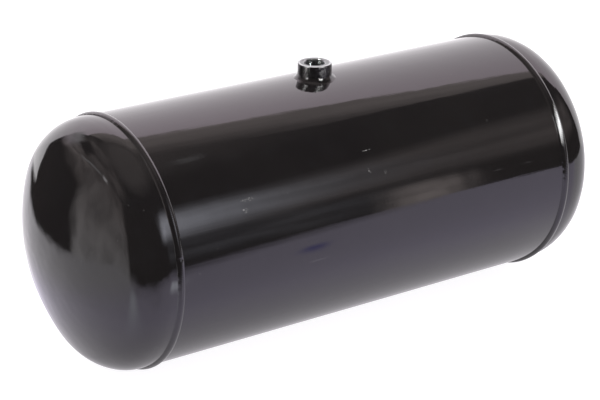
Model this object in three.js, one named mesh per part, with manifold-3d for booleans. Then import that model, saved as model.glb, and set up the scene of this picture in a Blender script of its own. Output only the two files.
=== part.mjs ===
// Small horizontal compressed-air receiver: a rolled shell, two dished heads, two girth welds on
// backing rings, a threaded boss on the top line, a drain boss on the bottom line and a blank plate.
// Millimetres, +Z up. The origin is on the tank's axis at mid-length, and +X runs along the axis.

import * as THREE from 'three';
import { mergeVertices } from 'three/addons/utils/BufferGeometryUtils.js';
import Module from 'manifold-3d';

const wasm = await Module();
wasm.setup();

// ---- Driving dimensions ---------------------------------------------------------------------

const CLEARANCE = 0.3; // gap left between neighbouring solids
const TANK_RADIUS = 123; // outside of the shell and of the heads' straight flanges
const WALL = 2.5; // sheet thickness of the shell and heads
const SEAM_X = 230.5; // centre plane of each girth weld, from mid-length

const HEAD_FLANGE = 8.4; // straight flange, from the weld's centre plane to the knuckle
const HEAD_KNUCKLE = 0.346 * TANK_RADIUS; // outside radius of the knuckle
const HEAD_CROWN = 1.6 * TANK_RADIUS; // outside radius of the crown

const BEVEL_TOP = 4.7; // half width of a girth weld's groove at the outside
const BEVEL_ROOT = 1; // half width of the groove at the inside
const GIRTH_CROWN = 2.7; // how far a girth weld stands proud of the shell
const RING_THICKNESS = 2; // backing ring
const RING_HALF_WIDTH = 9;

const SEAM_ANGLE = THREE.MathUtils.degToRad(125); // longitudinal weld, from the top round the rear
const SEAM_SLIT = 2; // gap between the rolled sheet's two edges
const SEAM_BEAD_WIDTH = 6;
const SEAM_BEAD_HEIGHT = 1.2;

const BOSS_RADIUS = 17.1; // both threaded bosses
const BORE_RADIUS = 10.2; // crest radius of an M22 x 1.5 internal thread
const BORE_CHAMFER = 1.2;
const RIM_CHAMFER = 1.2;
const TOP_BOSS_HEIGHT = 15; // rim above the shell's top line
const SPIGOT_RADIUS = 15; // part of the top boss that enters the shell's hole
const SPIGOT_PAST_WALL = 1;
const TOP_FILLET_LEG = 4.1; // fillet weld round the top boss
const TOP_FILLET_HOLLOW = 0.7; // how hollow the fillet's face is

const DRAIN_BOSS_PROUD = 1.8; // the drain boss is set through the shell and stays low outside
const DRAIN_BOSS_LENGTH = 16;
const DRAIN_WELD_WIDTH = 3.4;
const DRAIN_WELD_HEIGHT = 1.3;
const WEEP_SLOT_WIDTH = 3; // slot that lets the last water into the drain bore

const PLATE_LENGTH = 80; // along the tank
const PLATE_HEIGHT = 50;
const PLATE_CORNER = 5;
const PLATE_THICKNESS = 0.8;
const ADHESIVE_THICKNESS = 0.4;
const ADHESIVE_INSET = 1.5;

const TANK_SEGMENTS = 64; // facets round the tank
const BOSS_SEGMENTS = 48; // facets round a boss
const KNUCKLE_STEPS = [7, 5]; // facets along a head's knuckle, outside and inside
const CROWN_STEPS = [3, 2]; // facets from the crown's edge to its centre, outside and inside
const BEAD_STEPS = 4; // facets across the face of a girth weld or a boss weld
const SEAM_STEPS = 6; // facets across the longitudinal weld
const CORNER_STEPS = 4; // facets round a corner of the plate

// ---- Materials ------------------------------------------------------------------------------

const finish = (color, roughness, metalness) =>
  new THREE.MeshStandardMaterial({ color, roughness, metalness });

const SHELL_PAINT = finish(0x17161a, 0.16, 0.1);
const HEAD_PAINT = finish(0x18171a, 0.16, 0.1);
const WELD_PAINT = finish(0x1c1b1e, 0.25, 0.1);
const BOSS_STEEL = finish(0x9fa2a1, 0.4, 1);
const RAW_STEEL = finish(0x6f6d6b, 0.5, 1);
const PLATE_ALUMINIUM = finish(0xaeb0b2, 0.42, 1);
const ADHESIVE = finish(0x2b2b2b, 0.8, 0);

// ---- Outlines -------------------------------------------------------------------------------

const point = (x, y) => new THREE.Vector2(x, y);

/** Points along an arc in a profile plane, both ends included. Angles are in radians. */
function arcPoints(centreX, centreY, radius, from, to, steps) {
  const points = [];
  for (let i = 0; i <= steps; i += 1) {
    const angle = from + ((to - from) * i) / steps;
    points.push(point(centreX + radius * Math.cos(angle), centreY + radius * Math.sin(angle)));
  }
  return points;
}

/** A shallow arc from one point to another that swells to the right of the way by rise. */
function shallowArc(start, end, rise, steps) {
  const chord = end.clone().sub(start);
  const right = point(chord.y, -chord.x).normalize();
  const points = [];
  for (let i = 0; i <= steps; i += 1) {
    const t = i / steps;
    const swell = 4 * rise * t * (1 - t);
    points.push(start.clone().addScaledVector(chord, t).addScaledVector(right, swell));
  }
  return points;
}

// ---- Solids ---------------------------------------------------------------------------------

/** Ring or body turned round +Y from a profile of (radius, height) points. */
function turned(profile, segments) {
  const outline = THREE.ShapeUtils.area(profile) < 0 ? [...profile].reverse() : [...profile];
  const closesOnAxis = outline[0].x === 0 && outline[outline.length - 1].x === 0;
  if (!closesOnAxis) outline.push(outline[0].clone());
  return new THREE.LatheGeometry(outline, segments);
}

const alongTank = (geometry) => geometry.rotateZ(-Math.PI / 2); // +Y of the lathe becomes +X
const upright = (geometry) => geometry.rotateX(Math.PI / 2); // +Y of the lathe becomes +Z

/** The indexed triangles of a geometry, without the zero-area ones that a lathe has on its axis. */
function weldedTriangles(geometry) {
  const bare = geometry.clone();
  bare.deleteAttribute('normal');
  bare.deleteAttribute('uv');
  const merged = mergeVertices(bare, 1e-4);
  const index = [];
  for (let i = 0; i < merged.index.count; i += 3) {
    const [a, b, c] = [0, 1, 2].map((k) => merged.index.getX(i + k));
    if (a !== b && b !== c && c !== a) index.push(a, b, c);
  }
  return { vertProperties: merged.attributes.position.array, triVerts: new Uint32Array(index) };
}

const solid = (geometry) =>
  new wasm.Manifold(new wasm.Mesh({ numProp: 3, ...weldedTriangles(geometry) }));

/** A cut or joined solid as a three.js geometry. */
function geometryOf(manifold) {
  const mesh = manifold.getMesh();
  const geometry = new THREE.BufferGeometry();
  geometry.setAttribute('position', new THREE.BufferAttribute(mesh.vertProperties, 3));
  geometry.setIndex(new THREE.BufferAttribute(mesh.triVerts, 1));
  geometry.computeVertexNormals();
  return geometry;
}

/** Solid cylinder along the tank's axis, faceted as the shell is. */
function tankCylinder(radius, length) {
  const half = length / 2;
  const profile = [point(0, -half), point(radius, -half), point(radius, half), point(0, half)];
  return alongTank(turned(profile, TANK_SEGMENTS));
}

/** Solid cylinder standing on the line z = low, up to z = high. */
function uprightCylinder(radius, low, high) {
  const profile = [point(0, low), point(radius, low), point(radius, high), point(0, high)];
  return upright(turned(profile, BOSS_SEGMENTS));
}

/** Lifts a geometry whose z is a height above the shell onto the shell's round surface. */
function drapedOnShell(geometry) {
  const position = geometry.attributes.position;
  for (let i = 0; i < position.count; i += 1) {
    const y = position.getY(i);
    position.setZ(i, position.getZ(i) + Math.sqrt(TANK_RADIUS ** 2 - y ** 2));
  }
  return geometry;
}

// ---- Shell and its longitudinal weld --------------------------------------------------------

/** The rolled cylinder with bevelled ends, the two boss holes and the slit of its own seam. */
function shellGeometry() {
  const inner = TANK_RADIUS - WALL;
  const tube = alongTank(
    turned(
      [
        point(TANK_RADIUS, -SEAM_X + BEVEL_TOP),
        point(TANK_RADIUS, SEAM_X - BEVEL_TOP),
        point(inner, SEAM_X - BEVEL_ROOT),
        point(inner, -SEAM_X + BEVEL_ROOT),
      ],
      TANK_SEGMENTS,
    ),
  );
  const topHole = uprightCylinder(SPIGOT_RADIUS + CLEARANCE, 0, 2 * TANK_RADIUS);
  const drainHole = uprightCylinder(BOSS_RADIUS + CLEARANCE, -2 * TANK_RADIUS, 0);
  const slit = new THREE.BoxGeometry(3 * SEAM_X, SEAM_SLIT, 3 * WALL);
  slit.translate(0, 0, TANK_RADIUS - WALL / 2).rotateX(-SEAM_ANGLE);
  const cuts = [topHole, drainHole, slit].map(solid);
  return geometryOf(cuts.reduce((body, cut) => body.subtract(cut), solid(tube)));
}

/** The longitudinal bead: a root that fills the slit under a low crown that laps both edges. */
function shellSeamWeldGeometry() {
  const rootHalf = SEAM_SLIT / 2 - CLEARANCE;
  const beadHalf = SEAM_BEAD_WIDTH / 2;
  const underside = TANK_RADIUS + CLEARANCE;
  const edge = point(beadHalf, underside);
  const crown = shallowArc(edge, point(-beadHalf, underside), SEAM_BEAD_HEIGHT, SEAM_STEPS);
  const section = new THREE.Shape([
    point(-rootHalf, underside),
    point(-rootHalf, TANK_RADIUS - WALL),
    point(rootHalf, TANK_RADIUS - WALL),
    point(rootHalf, underside),
    ...crown,
  ]);
  const length = 2 * (SEAM_X - BEVEL_TOP - 2 * CLEARANCE);
  const bead = new THREE.ExtrudeGeometry(section, { depth: length, bevelEnabled: false, steps: 1 });
  // The section's plane turns from XY to YZ, so that the bead runs along the tank.
  return bead.translate(0, 0, -length / 2).rotateX(Math.PI / 2).rotateZ(Math.PI / 2).rotateX(-SEAM_ANGLE);
}

// ---- Heads, girth welds and backing rings ---------------------------------------------------
// Each is drawn with the weld's centre plane at y = 0 and the tank's outer end towards +Y.

/** Knuckle and crown of a head's surface, inset from the outside by the given distance. */
function dishPoints(inset, knuckleSteps, crownSteps) {
  const knuckleCentre = TANK_RADIUS - HEAD_KNUCKLE;
  const reach = HEAD_CROWN - HEAD_KNUCKLE;
  const crownDrop = Math.sqrt(reach ** 2 - knuckleCentre ** 2);
  const join = Math.acos(knuckleCentre / reach);
  const knuckle = arcPoints(knuckleCentre, HEAD_FLANGE, HEAD_KNUCKLE - inset, 0, join, knuckleSteps);
  const crown = arcPoints(0, HEAD_FLANGE - crownDrop, HEAD_CROWN - inset, join, Math.PI / 2, crownSteps);
  crown[crown.length - 1].x = 0;
  return [...knuckle, ...crown.slice(1)];
}

function headGeometry() {
  const outer = dishPoints(0, KNUCKLE_STEPS[0], CROWN_STEPS[0]);
  const inner = dishPoints(WALL, KNUCKLE_STEPS[1], CROWN_STEPS[1]);
  const outside = [point(TANK_RADIUS, BEVEL_TOP), ...outer];
  const inside = [point(TANK_RADIUS - WALL, BEVEL_ROOT), ...inner];
  return turned([...outside.reverse(), ...inside], TANK_SEGMENTS);
}

/** A bead that fills the V groove between shell and head and stands proud in a low crown. */
function girthWeldGeometry() {
  const rootHalf = BEVEL_ROOT - CLEARANCE;
  const topHalf = BEVEL_TOP - CLEARANCE;
  const edge = point(TANK_RADIUS, topHalf);
  const crown = shallowArc(edge, point(TANK_RADIUS, -topHalf), -GIRTH_CROWN, BEAD_STEPS);
  const root = TANK_RADIUS - WALL;
  return turned([point(root, -rootHalf), point(root, rootHalf), ...crown], TANK_SEGMENTS);
}

function backingRingGeometry() {
  const outer = TANK_RADIUS - WALL - CLEARANCE;
  const inner = outer - RING_THICKNESS;
  const half = RING_HALF_WIDTH;
  const profile = [point(inner, -half), point(outer, -half), point(outer, half), point(inner, half)];
  return turned(profile, TANK_SEGMENTS);
}

// ---- Bosses and their welds -----------------------------------------------------------------

/** Bore with a chamfered mouth at its top end, from z = low to z = high. */
function boreCutter(low, high) {
  const over = 1;
  const mouth = BORE_RADIUS + BORE_CHAMFER + over;
  const profile = [
    point(0, low - over),
    point(BORE_RADIUS, low - over),
    point(BORE_RADIUS, high - BORE_CHAMFER),
    point(mouth, high + over),
    point(0, high + over),
  ];
  return upright(turned(profile, BOSS_SEGMENTS));
}

/** Round bar with a small chamfer round its top rim. */
function bossBar(low, high) {
  const profile = [
    point(0, low),
    point(BOSS_RADIUS, low),
    point(BOSS_RADIUS, high - RIM_CHAMFER),
    point(BOSS_RADIUS - RIM_CHAMFER, high),
    point(0, high),
  ];
  return upright(turned(profile, BOSS_SEGMENTS));
}

/** Weld-on boss: its foot is coped to the shell, and a spigot locates it in the shell's hole. */
function topPortBossGeometry() {
  const rim = TANK_RADIUS + TOP_BOSS_HEIGHT;
  const spigotEnd = TANK_RADIUS - WALL - SPIGOT_PAST_WALL;
  const cope = tankCylinder(TANK_RADIUS + CLEARANCE, 4 * BOSS_RADIUS);
  const bar = solid(bossBar(TANK_RADIUS - 2 * WALL, rim)).subtract(solid(cope));
  const spigot = solid(uprightCylinder(SPIGOT_RADIUS, spigotEnd, TANK_RADIUS + TOP_BOSS_HEIGHT / 2));
  return geometryOf(bar.add(spigot).subtract(solid(boreCutter(spigotEnd, rim))));
}

/** Fillet weld in the corner between the top boss and the shell, with a slightly hollow face. */
function topPortWeldGeometry() {
  const innerRadius = BOSS_RADIUS + CLEARANCE;
  const toe = point(innerRadius + TOP_FILLET_LEG, 2 * CLEARANCE);
  const upperToe = point(innerRadius + CLEARANCE, TOP_FILLET_LEG);
  const face = shallowArc(toe, upperToe, -TOP_FILLET_HOLLOW, BEAD_STEPS);
  const profile = [
    point(innerRadius, CLEARANCE),
    point(innerRadius + TOP_FILLET_LEG, CLEARANCE),
    ...face,
    point(innerRadius, TOP_FILLET_LEG),
  ];
  return drapedOnShell(upright(turned(profile, BOSS_SEGMENTS)));
}

/** Drain boss, drawn pointing up: set through the shell, with weep slots at its inner end. */
function drainBossGeometry() {
  const rim = TANK_RADIUS + DRAIN_BOSS_PROUD;
  const innerEnd = rim - DRAIN_BOSS_LENGTH;
  const slotTop = TANK_RADIUS - WALL - CLEARANCE;
  const slotDepth = 2 * (slotTop - innerEnd);
  const slot = new THREE.BoxGeometry(4 * BOSS_RADIUS, WEEP_SLOT_WIDTH, slotDepth);
  slot.translate(0, 0, slotTop - slotDepth / 2);
  const body = solid(bossBar(innerEnd, rim));
  return geometryOf(body.subtract(solid(boreCutter(innerEnd, rim))).subtract(solid(slot)));
}

/** Low bead in the corner between the drain boss and the shell, drawn pointing up. */
function drainBossWeldGeometry() {
  const innerRadius = BOSS_RADIUS + CLEARANCE;
  const start = point(innerRadius + DRAIN_WELD_WIDTH, CLEARANCE);
  const crown = shallowArc(start, point(innerRadius, CLEARANCE), DRAIN_WELD_HEIGHT, BEAD_STEPS);
  return drapedOnShell(upright(turned(crown, BOSS_SEGMENTS)));
}

// ---- Data plate -----------------------------------------------------------------------------

/** Rounded rectangle seen from the rear, centred on the origin of its plane. */
function plateOutline(length, height, corner) {
  const x = length / 2 - corner;
  const y = height / 2 - corner;
  const outline = new THREE.Shape();
  outline.absarc(x, y, corner, 0, Math.PI / 2);
  outline.absarc(-x, y, corner, Math.PI / 2, Math.PI);
  outline.absarc(-x, -y, corner, Math.PI, 1.5 * Math.PI);
  outline.absarc(x, -y, corner, 1.5 * Math.PI, 2 * Math.PI);
  return outline;
}

/** A layer that follows the shell's rear, between two heights above the shell. */
function layerOnShell(low, high, inset) {
  const half = PLATE_LENGTH;
  const band = alongTank(
    turned(
      [
        point(TANK_RADIUS + low, -half),
        point(TANK_RADIUS + high, -half),
        point(TANK_RADIUS + high, half),
        point(TANK_RADIUS + low, half),
      ],
      TANK_SEGMENTS,
    ),
  );
  const outline = plateOutline(PLATE_LENGTH - 2 * inset, PLATE_HEIGHT - 2 * inset, PLATE_CORNER - inset);
  const block = new THREE.ExtrudeGeometry(outline, {
    depth: 2 * TANK_RADIUS,
    bevelEnabled: false,
    curveSegments: CORNER_STEPS,
  });
  block.rotateX(-Math.PI / 2); // the outline's depth now runs towards +Y
  return geometryOf(solid(band).intersect(solid(block)));
}

// ---- Assembly -------------------------------------------------------------------------------

function named(name, geometry, material) {
  const mesh = new THREE.Mesh(geometry, material.clone());
  mesh.name = name;
  return mesh;
}

/** The pieces at one end of the tank. The group's +Y points out of that end. */
function endGroup(side, x, turn) {
  const end = new THREE.Group();
  end.add(
    named(`${side}_head`, headGeometry(), HEAD_PAINT),
    named(`${side}_girth_weld`, girthWeldGeometry(), WELD_PAINT),
    named(`${side}_backing_ring`, backingRingGeometry(), RAW_STEEL),
  );
  end.position.x = x;
  end.rotation.z = turn;
  return end;
}

function drainGroup() {
  const drain = new THREE.Group();
  drain.add(
    named('drain_boss', drainBossGeometry(), BOSS_STEEL),
    named('drain_boss_weld', drainBossWeldGeometry(), WELD_PAINT),
  );
  drain.rotation.x = Math.PI;
  return drain;
}

function plateGroup() {
  const adhesiveTop = CLEARANCE + ADHESIVE_THICKNESS;
  const plateBottom = adhesiveTop + CLEARANCE;
  const plate = new THREE.Group();
  plate.add(
    named('data_plate_adhesive', layerOnShell(CLEARANCE, adhesiveTop, ADHESIVE_INSET), ADHESIVE),
    named('data_plate', layerOnShell(plateBottom, plateBottom + PLATE_THICKNESS, 0), PLATE_ALUMINIUM),
  );
  return plate;
}

const tank = new THREE.Group();
tank.add(
  named('shell', shellGeometry(), SHELL_PAINT),
  named('shell_seam_weld', shellSeamWeldGeometry(), WELD_PAINT),
  endGroup('left', -SEAM_X, Math.PI / 2),
  endGroup('right', SEAM_X, -Math.PI / 2),
  named('top_port_boss', topPortBossGeometry(), BOSS_STEEL),
  named('top_port_weld', topPortWeldGeometry(), WELD_PAINT),
  drainGroup(),
  plateGroup(),
);

export default tank;
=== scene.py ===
import math

import bmesh
import bpy
import numpy as np
from mathutils import Matrix, Vector


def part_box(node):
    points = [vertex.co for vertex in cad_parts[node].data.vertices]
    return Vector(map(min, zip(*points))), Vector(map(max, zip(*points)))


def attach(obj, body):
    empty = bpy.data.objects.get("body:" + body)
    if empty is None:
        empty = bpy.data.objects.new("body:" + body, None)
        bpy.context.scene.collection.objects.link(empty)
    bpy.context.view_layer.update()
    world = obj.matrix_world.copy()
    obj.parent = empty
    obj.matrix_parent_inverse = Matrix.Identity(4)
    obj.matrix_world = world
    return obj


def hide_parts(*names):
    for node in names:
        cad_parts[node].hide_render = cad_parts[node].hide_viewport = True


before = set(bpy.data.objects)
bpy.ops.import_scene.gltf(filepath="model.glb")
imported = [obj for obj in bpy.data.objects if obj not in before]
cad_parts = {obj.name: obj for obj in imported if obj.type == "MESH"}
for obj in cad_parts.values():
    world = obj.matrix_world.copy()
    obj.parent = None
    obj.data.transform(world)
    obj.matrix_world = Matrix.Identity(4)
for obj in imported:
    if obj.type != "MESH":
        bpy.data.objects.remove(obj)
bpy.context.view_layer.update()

# The air receiver tank: a rolled shell along X, a dished head at each end, a girth weld at each
# joint, a threaded boss on top (+Z) and a low one underneath. Lengths are in metres, and the places
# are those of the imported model.

MM = 0.001
TAU = 2 * math.pi


def low(node):
    return Vector(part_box(node)[0])


def high(node):
    return Vector(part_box(node)[1])


def middle(node):
    return (low(node) + high(node)) / 2


# ---- Sizes ---------------------------------------------------------------------------------------

RADIUS = high("left_head").z
WALL = 2.5 * MM
SEAM_X = middle("right_girth_weld").x
BEAD_HALF = (high("right_girth_weld").x - low("right_girth_weld").x) / 2
BEAD_TOP = high("right_girth_weld").z
FLANGE_END = SEAM_X + 8.4 * MM
KNUCKLE = 0.346 * RADIUS
CROWN = 1.6 * RADIUS
DISH_DEPTH = 0.39 * RADIUS
LIP_TOP = 2.6 * MM
LIP_ROOT = 1.0 * MM

BOSS_X = middle("top_port_boss").x
BOSS_RADIUS = (high("top_port_boss").y - low("top_port_boss").y) / 2
BOSS_RIM = high("top_port_boss").z
BOSS_INNER_END = low("top_port_boss").z
SPIGOT_RADIUS = 15 * MM
DRAIN_RIM = low("drain_boss").z
DRAIN_INNER_END = high("drain_boss").z
THREAD_CREST = 10.2 * MM
THREAD_PITCH = 1.5 * MM
THREAD_DEPTH = 0.812 * MM
THREAD_ROWS = 14
CREST_SHARE = 0.25
FLANK_SHARE = 0.3125
BORE_WALL = THREAD_CREST + 0.9 * MM
BORE_MOUTH = 11.4 * MM
INNER_MOUTH = BORE_MOUTH - 0.2 * MM
MOUTH_EDGE = 0.12 * MM
SPIGOT_CHAMFER = 0.4 * MM
RIM_CHAMFER = 1.2 * MM
TOP_FILLET_LEG = 4.3 * MM
TOP_FILLET_RADIUS = (high("top_port_weld").x - low("top_port_weld").x) / 2
DRAIN_FILLET_RADIUS = (high("drain_boss_weld").x - low("drain_boss_weld").x) / 2

SEAM_ANGLE = math.radians(125)
SEAM_HALF_LENGTH = (high("shell_seam_weld").x - low("shell_seam_weld").x) / 2
SEAM_HALF_WIDTH = 3.0 * MM
SEAM_HEIGHT = 1.2 * MM

PLATE_HALF = (40 * MM, 25 * MM)
PLATE_CORNER = 5 * MM
PLATE_BACK = RADIUS + 1.0 * MM
PLATE_FACE = RADIUS + 1.8 * MM
PLATE_BORDER = 3.2 * MM
PLATE_EDGE = 0.25 * MM

INSIDE = RADIUS - WALL * 0.6
HOLE_CLEARANCE = 0.1 * MM
DRILL_OVERRUN = 20 * MM
HOLE_SEGMENTS = 96
ROUND_SEGMENTS = 288
BOSS_COLUMNS = 144
FILLET_COLUMNS = 1080
BEAD_COLUMNS = 3072


# ---- Mesh helpers --------------------------------------------------------------------------------

def waves(points, wavelength, seed, count=28):
    """A smooth random field between about -1 and 1, the same on every run."""
    rng = np.random.default_rng(seed)
    direction = rng.normal(size=(count, 3))
    direction /= np.linalg.norm(direction, axis=1)[:, None]
    stretch = rng.uniform(0.75, 1.35, count)
    phase = rng.uniform(0, TAU, count)
    turns = points @ (direction * (TAU / wavelength * stretch)[:, None]).T
    return np.sin(turns + phase).sum(axis=-1) * math.sqrt(2 / count) / 2


def wobble(along, wavelength, seed, period=None, count=9):
    """A smooth random line between about -1 and 1. With a period, its ends meet."""
    rng = np.random.default_rng(seed)
    total = np.zeros_like(along)
    for k in range(count):
        rate = rng.uniform(0.5, 1.6) / wavelength
        if period:
            rate = max(1, round(rate * period)) / period
        total += np.sin(TAU * rate * along + rng.uniform(0, TAU))
    return total * math.sqrt(2 / count) / 2


def arc(center, radius, start, end, steps):
    """Points (a, b) round a center, by angle from the first axis."""
    angles = np.linspace(start, end, steps + 1)
    return [(center[0] + radius * math.cos(t), center[1] + radius * math.sin(t)) for t in angles]


def line(start, end, steps):
    return [
        (start[0] + (end[0] - start[0]) * k / steps, start[1] + (end[1] - start[1]) * k / steps)
        for k in range(steps + 1)
    ]


def joined(*runs):
    """One run of points out of several, without the doubled ones."""
    points = [runs[0][0]]
    for point in (point for run in runs for point in run):
        if math.dist(point, points[-1]) > 1e-7:
            points.append(point)
    return points


def grid_mesh(name, points, close_rows=False, close_columns=True):
    """A quad mesh through points[row, column]."""
    rows, columns = points.shape[:2]
    index = np.arange(rows * columns).reshape(rows, columns)
    if close_rows:
        index = np.vstack([index, index[:1]])
    if close_columns:
        index = np.hstack([index, index[:, :1]])
    quads = np.stack([index[:-1, :-1], index[1:, :-1], index[1:, 1:], index[:-1, 1:]], axis=-1)
    mesh = bpy.data.meshes.new(name)
    mesh.from_pydata(points.reshape(-1, 3).tolist(), [], quads.reshape(-1, 4).tolist())
    return mesh


def piece(name, mesh, node, materials, sharp=38):
    """Merges doubled points, shades the mesh smooth, hangs it from the root body and hides the node it
    takes the place of.
    """
    draft = bmesh.new()
    draft.from_mesh(mesh)
    bmesh.ops.remove_doubles(draft, verts=draft.verts, dist=2e-7)
    bmesh.ops.dissolve_degenerate(draft, edges=draft.edges, dist=1e-8)
    bmesh.ops.recalc_face_normals(draft, faces=draft.faces)
    draft.to_mesh(mesh)
    draft.free()
    mesh.polygons.foreach_set("use_smooth", [True] * len(mesh.polygons))
    mesh.set_sharp_from_angle(angle=math.radians(sharp))
    for material in materials:
        mesh.materials.append(material)
    made = bpy.data.objects.new(name, mesh)
    bpy.context.scene.collection.objects.link(made)
    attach(made, "root")
    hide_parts(node)
    return made


def assign_slots(mesh, rule):
    """Gives each face the material slot that the rule finds for its center and normal."""
    for face in mesh.polygons:
        face.material_index = rule(face.center, face.normal)


def round_x(profile):
    """Turns a profile of (x, r) round the X axis: points[row, column]."""
    profile = np.array(profile)
    turn = np.linspace(0, TAU, ROUND_SEGMENTS, endpoint=False)
    x = np.repeat(profile[:, :1], ROUND_SEGMENTS, axis=1)
    return np.stack([x, profile[:, 1:] * np.sin(turn), profile[:, 1:] * np.cos(turn)], axis=-1)


def along_radius(points, amount):
    """Moves points away from the X axis by an amount for each."""
    reach = np.hypot(points[..., 1], points[..., 2])
    scale = np.where(reach > 1e-9, (reach + amount) / np.maximum(reach, 1e-9), 1)
    moved = points.copy()
    moved[..., 1] *= scale
    moved[..., 2] *= scale
    return moved


# ---- Materials -----------------------------------------------------------------------------------

COAT_DARK = (0.0062, 0.0054, 0.0057)
COAT_WARM = (0.0080, 0.0070, 0.0070)
COAT_PALE = (0.0098, 0.0092, 0.0100)
COAT_IOR = 1.5
RIM_DARK_TO = 14.2 * MM
RIM_BRIGHT_FROM = 15.2 * MM
TOOL_MARK_SCALE = 5200.0


def node(tree, kind, inputs=None, **settings):
    made = tree.nodes.new("ShaderNode" + kind)
    for key, value in settings.items():
        setattr(made, key, value)
    for key, value in (inputs or {}).items():
        if isinstance(value, bpy.types.NodeSocket):
            tree.links.new(value, made.inputs[key])
        else:
            made.inputs[key].default_value = value
    return made


def new_material(name):
    material = bpy.data.materials.new(name)
    material.use_nodes = True
    tree = material.node_tree
    tree.nodes.clear()
    out = node(tree, "OutputMaterial")
    shader = node(tree, "BsdfPrincipled")
    tree.links.new(shader.outputs["BSDF"], out.inputs["Surface"])
    place = node(tree, "TexCoord").outputs["Object"]
    return material, tree, shader, place


def noise(tree, place, scale, detail=2.0, rough=0.5, stretch=None):
    """Noise over the object's own metres; stretch is a scale for each axis."""
    if stretch:
        place = node(tree, "Mapping", {"Vector": place, "Scale": stretch}).outputs["Vector"]
    settings = {"Vector": place, "Scale": scale, "Detail": detail, "Roughness": rough}
    return node(tree, "TexNoise", settings).outputs["Fac"]


def ramp(tree, value, start, end, low_to=0.0, high_to=1.0):
    settings = {"Value": value, "From Min": start, "From Max": end, "To Min": low_to, "To Max": high_to}
    return node(tree, "MapRange", settings, clamp=True, interpolation_type="SMOOTHSTEP").outputs["Result"]


def times(tree, first, second):
    return node(tree, "Math", {0: first, 1: second}, operation="MULTIPLY").outputs["Value"]


def plus(tree, first, second):
    return node(tree, "Math", {0: first, 1: second}, operation="ADD").outputs["Value"]


def blend(tree, factor, first, second):
    made = tree.nodes.new("ShaderNodeMix")
    made.data_type = "RGBA"
    tree.links.new(factor, made.inputs["Factor"])
    for socket, value in (("A", first), ("B", second)):
        target = next(s for s in made.inputs if s.name == socket and s.type == "RGBA")
        if isinstance(value, bpy.types.NodeSocket):
            tree.links.new(value, target)
        else:
            target.default_value = (*value, 1)
    return next(s for s in made.outputs if s.type == "RGBA")


def bump(tree, height, distance, normal=None):
    settings = {"Height": height, "Distance": distance, "Strength": 1.0}
    if normal:
        settings["Normal"] = normal
    return node(tree, "Bump", settings).outputs["Normal"]


def near(tree, place, center, reach):
    """1 at a point of the object, falling smoothly to 0 at each axis' reach from it."""
    moved = node(tree, "VectorMath", {0: place, 1: center}, operation="SUBTRACT").outputs["Vector"]
    scale = tuple(1 / r for r in reach)
    scaled = node(tree, "VectorMath", {0: moved, 1: scale}, operation="MULTIPLY").outputs["Vector"]
    distance = node(tree, "VectorMath", {0: scaled}, operation="LENGTH").outputs["Value"]
    return ramp(tree, distance, 0.0, 1.0, 1.0, 0.0)


def on_shell(along, around):
    """The point of the shell's skin at a distance along it and degrees round from the top."""
    angle = math.radians(around)
    return (along, -RADIUS * math.sin(angle), RADIUS * math.cos(angle))


def specks(tree, place, scale, size, share):
    """Small round dots, one in the given share of the cells."""
    cells = node(tree, "TexVoronoi", {"Vector": place, "Scale": scale, "Randomness": 1.0})
    dot = ramp(tree, cells.outputs["Distance"], size * 0.5, size, 1.0, 0.0)
    chosen = node(tree, "SeparateColor", {"Color": cells.outputs["Color"]}).outputs["Red"]
    chosen = node(tree, "Math", {0: chosen, 1: 1 - share}, operation="GREATER_THAN").outputs["Value"]
    return times(tree, dot, chosen)


def paint(name, peel, haze, grain, scuffs=()):
    """Gloss black with orange peel, the sheet's rolling lines, haze, dust nibs and fine scratches."""
    material, tree, shader, place = new_material(name)
    cloud = noise(tree, place, 7.0, 4.0, 0.6)
    mottle = noise(tree, place, 60.0, 3.0, 0.55)
    color = blend(tree, ramp(tree, cloud, 0.3, 0.7), COAT_DARK, COAT_WARM)
    color = blend(tree, ramp(tree, mottle, 0.5, 0.9, 0.0, 0.5), color, COAT_PALE)
    dust = specks(tree, place, 95.0, 0.045, 0.10)
    lint = specks(tree, place, 260.0, 0.05, 0.05)
    scratch_field = noise(tree, place, 1.0, 1.0, 0.4, (9.0, 520.0, 430.0))
    scratch_area = ramp(tree, noise(tree, place, 16.0, 2.0), 0.56, 0.72)
    scratch = times(tree, ramp(tree, scratch_field, 0.735, 0.76), scratch_area)
    marks = plus(tree, times(tree, dust, 0.75), times(tree, lint, 0.45))
    flecks = ramp(tree, noise(tree, place, 1.0, 2.0, 0.6, (520.0, 950.0, 950.0)), 0.54, 0.63)
    for along, around, reach_along, reach_across in scuffs:
        reach = (reach_along * MM, reach_across * MM, reach_across * MM)
        close = near(tree, place, on_shell(along * MM, around), reach)
        spot = times(tree, ramp(tree, close, 0.1, 0.8), flecks)
        marks = plus(tree, marks, spot)
    color = blend(tree, ramp(tree, marks, 0.0, 1.0, 0.0, 0.75), color, (0.20, 0.195, 0.19))
    color = blend(tree, times(tree, scratch, 0.5), color, (0.055, 0.053, 0.055))
    tree.links.new(color, shader.inputs["Base Color"])
    rough = ramp(tree, noise(tree, place, 11.0, 4.0, 0.6), 0.35, 0.75, haze[0], haze[1])
    rough = plus(tree, rough, times(tree, plus(tree, marks, scratch), 0.25))
    tree.links.new(rough, shader.inputs["Roughness"])
    skin = bump(tree, noise(tree, place, 340.0, 2.5, 0.55), peel)
    skin = bump(tree, noise(tree, place, 46.0, 1.0), peel * 2.4, skin)
    skin = bump(tree, noise(tree, place, 1.0, 3.0, 0.6, (5.0, 170.0, 170.0)), peel * grain, skin)
    skin = bump(tree, marks, 3e-5, skin)
    tree.links.new(skin, shader.inputs["Normal"])
    shader.inputs["IOR"].default_value = COAT_IOR
    return material


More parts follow.
